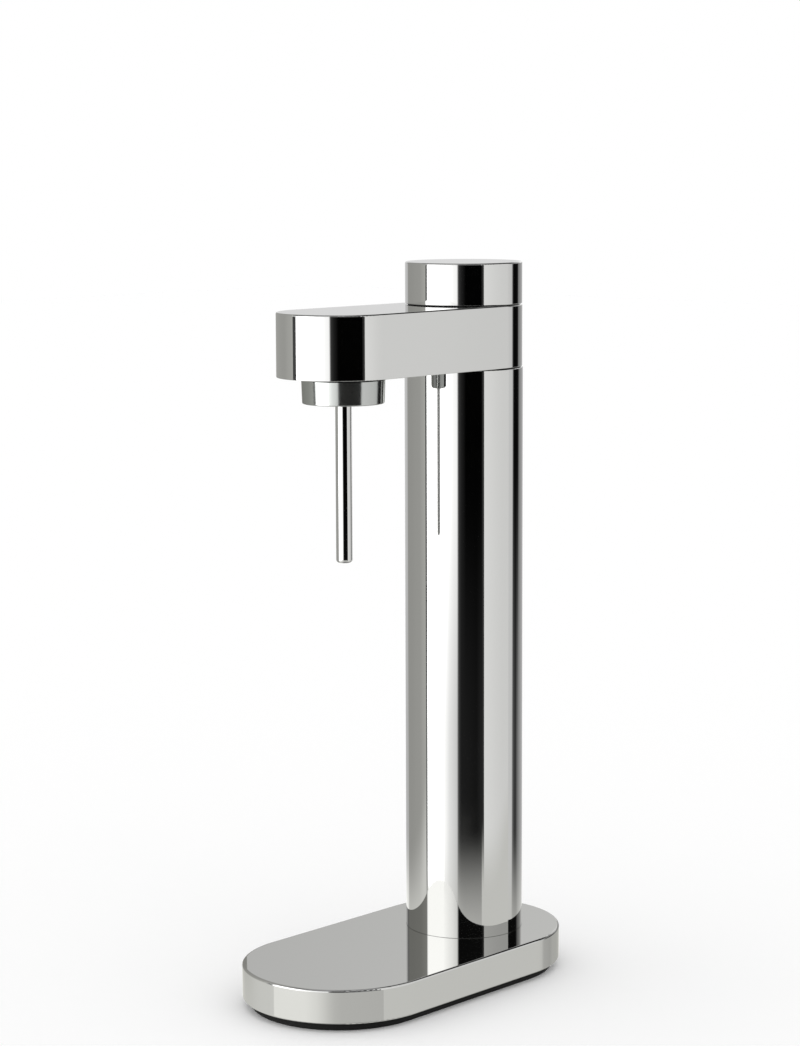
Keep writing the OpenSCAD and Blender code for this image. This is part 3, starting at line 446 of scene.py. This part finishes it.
def lightStudio():
    world = bpy.data.worlds.new("studio")
    bpy.context.scene.world = world
    world.use_nodes = True
    tree = world.node_tree
    tree.nodes.clear()
    coord = addNode(tree, "ShaderNodeTexCoord")
    split = addNode(tree, "ShaderNodeSeparateXYZ", links={"Vector": coord.outputs["Generated"]})
    # azimuth 0 looks to -Y, and grows towards +X
    back = addNode(tree, "ShaderNodeMath", {1: -1.0}, {0: split.outputs["Y"]}, operation="MULTIPLY")
    angle = addNode(tree, "ShaderNodeMath", links={0: split.outputs["X"], 1: back.outputs[0]},
                    operation="ARCTAN2")
    turned = addNode(tree, "ShaderNodeMath", {1: math.radians(180 - studio["photoSide"])},
                     {0: angle.outputs[0]}, operation="ADD")
    turns = addNode(tree, "ShaderNodeMath", {1: 1 / math.tau}, {0: turned.outputs[0]}, operation="MULTIPLY")
    part = addNode(tree, "ShaderNodeMath", links={0: turns.outputs[0]}, operation="FRACT")
    seen = None
    for name, layer in studio["layers"].items():
        tint = studio["tableTint"] if name == "table" else 1.0
        stops = [((degrees + 180) / 360, warmGrey(grey, tint)) for degrees, grey in layer["bands"]]
        ramp = addNode(tree, "ShaderNodeValToRGB", links={"Fac": part.outputs[0]}, stops=stops)
        first, last = (math.sin(math.radians(height)) for height in layer["from"])
        share = addNode(tree, "ShaderNodeMapRange", {"From Min": first, "From Max": last},
                        {"Value": split.outputs["Z"]}, interpolation_type="SMOOTHSTEP")
        mix = addNode(tree, "ShaderNodeMix", {mixFrom: warmGrey(studio["overhead"])},
                      {mixShare: share.outputs["Result"], mixTo: ramp.outputs["Color"]}, data_type="RGBA")
        if seen:
            tree.links.new(seen, mix.inputs[mixFrom])
        seen = mix.outputs[mixOut]
    # all but glossy rays see plain white
    rays = addNode(tree, "ShaderNodeLightPath")
    shown = addNode(tree, "ShaderNodeMix", {mixFrom: warmGrey(1.0)},
                    {mixShare: rays.outputs["Is Glossy Ray"], mixTo: seen}, data_type="RGBA")
    sky = addNode(tree, "ShaderNodeBackground", {"Strength": 1.0}, {"Color": shown.outputs[mixOut]})
    addNode(tree, "ShaderNodeOutputWorld", links={"Surface": sky.outputs[0]})


# cards that stand near the object, for glossy rays: foot of each end and height in metres, brightness from
# the first end to the last, the heights between which a card gives way to its image in the table top, that
# image's brightness, and how far the image's edge drops from end to end
cards = {
    "greyCard": {
        "ends": ((-0.299, -0.352), (-0.195, 0.06)), "height": 0.62, "tint": 0.95,
        "tones": [(0, 0.66), (0.1, 0.62), (0.33, 0.57), (0.46, 0.52), (0.7, 0.5), (0.93, 0.45)],
        "foot": (0.03, -0.06), "image": [(0, 0.97), (0.55, 0.97), (0.72, 1.06), (0.85, 1.12)]},
    "softBox": {
        "ends": ((-0.459, -0.638), (0.033, -1.136)), "height": 0.42, "tint": 1.0,
        "tones": [(0, 3.5), (1, 3.5)],
        "foot": (-0.148, -0.168), "drop": 0.115, "image": [(0, 1.27)]},
    "paleCard": {
        "ends": ((0.42, -0.056), (0.42, 0.6)), "height": 0.62, "tint": 0.99,
        "tones": [(0, 0.02), (0.05, 0.07), (0.056, 1.17), (0.09, 1.16), (0.22, 1.12), (0.34, 1.08),
                  (0.52, 1.04), (0.74, 1.02), (1, 0.94)],
        "foot": (0.0, -0.06), "image": [(0, 0.89)]},
}
imageDepth = 0.4  # how far a card's image goes down below the table top


def standCard(name):
    card = cards[name]
    (x0, y0), (x1, y1) = card["ends"]
    length = math.hypot(x1 - x0, y1 - y0)
    tall = card["height"] + imageDepth
    bpy.ops.object.select_all(action="DESELECT")
    bpy.ops.mesh.primitive_plane_add(
        size=1, location=((x0 + x1) / 2, (y0 + y1) / 2, (card["height"] - imageDepth) / 2),
        rotation=(math.pi / 2, 0, math.atan2(y1 - y0, x1 - x0)))
    piece = bpy.context.object
    piece.name = name
    piece.scale = (length, tall, 1)
    mat = bpy.data.materials.new(name)
    mat.use_nodes = True
    tree = mat.node_tree
    tree.nodes.clear()
    coord = addNode(tree, "ShaderNodeTexCoord")
    split = addNode(tree, "ShaderNodeSeparateXYZ", links={"Vector": coord.outputs["UV"]})
    tones = addNode(tree, "ShaderNodeValToRGB", links={"Fac": split.outputs["X"]},
                    stops=[(place, warmGrey(grey, card["tint"])) for place, grey in card["tones"]])
    first, last = ((z + imageDepth) / tall for z in card["foot"])
    level = addNode(tree, "ShaderNodeMath", {1: card.get("drop", 0) / tall},
                    {0: split.outputs["X"], 2: split.outputs["Y"]}, operation="MULTIPLY_ADD")
    under = addNode(tree, "ShaderNodeMapRange", {"From Min": first, "From Max": last},
                    {"Value": level.outputs[0]}, interpolation_type="SMOOTHSTEP")
    image = addNode(tree, "ShaderNodeValToRGB", links={"Fac": split.outputs["X"]},
                    stops=[(place, warmGrey(grey, studio["tableTint"])) for place, grey in card["image"]])
    mix = addNode(tree, "ShaderNodeMix", None,
                  {mixShare: under.outputs["Result"], mixFrom: tones.outputs["Color"],
                   mixTo: image.outputs["Color"]}, data_type="RGBA")
    glow = addNode(tree, "ShaderNodeEmission", links={"Color": mix.outputs[mixOut]})
    addNode(tree, "ShaderNodeOutputMaterial", links={"Surface": glow.outputs[0]})
    piece.data.materials.append(mat)
    piece.visible_camera = False
    piece.visible_diffuse = False
    piece.visible_transmission = False
    piece.visible_shadow = False


floorLook = {"size": 12, "colour": "#ffffff", "roughness": 0.9}


def layFloor():
    bpy.ops.object.select_all(action="DESELECT")
    bpy.ops.mesh.primitive_plane_add(size=floorLook["size"], location=(0, 0, 0))
    floor = bpy.context.object
    floor.name = "floor"
    mat, _, shader, _ = newMaterial("paleFloor", floorLook["colour"], 0.0)
    shader.inputs["Roughness"].default_value = floorLook["roughness"]
    shader.inputs["Specular IOR Level"].default_value = 0.0
    floor.data.materials.append(mat)
    floor.visible_glossy = False  # the studio's table takes its place there


placeCamera()
lightStudio()
for name in cards:
    standCard(name)
layFloor()
bpy.context.scene.view_settings.view_transform = "Standard"
print("studio ready")
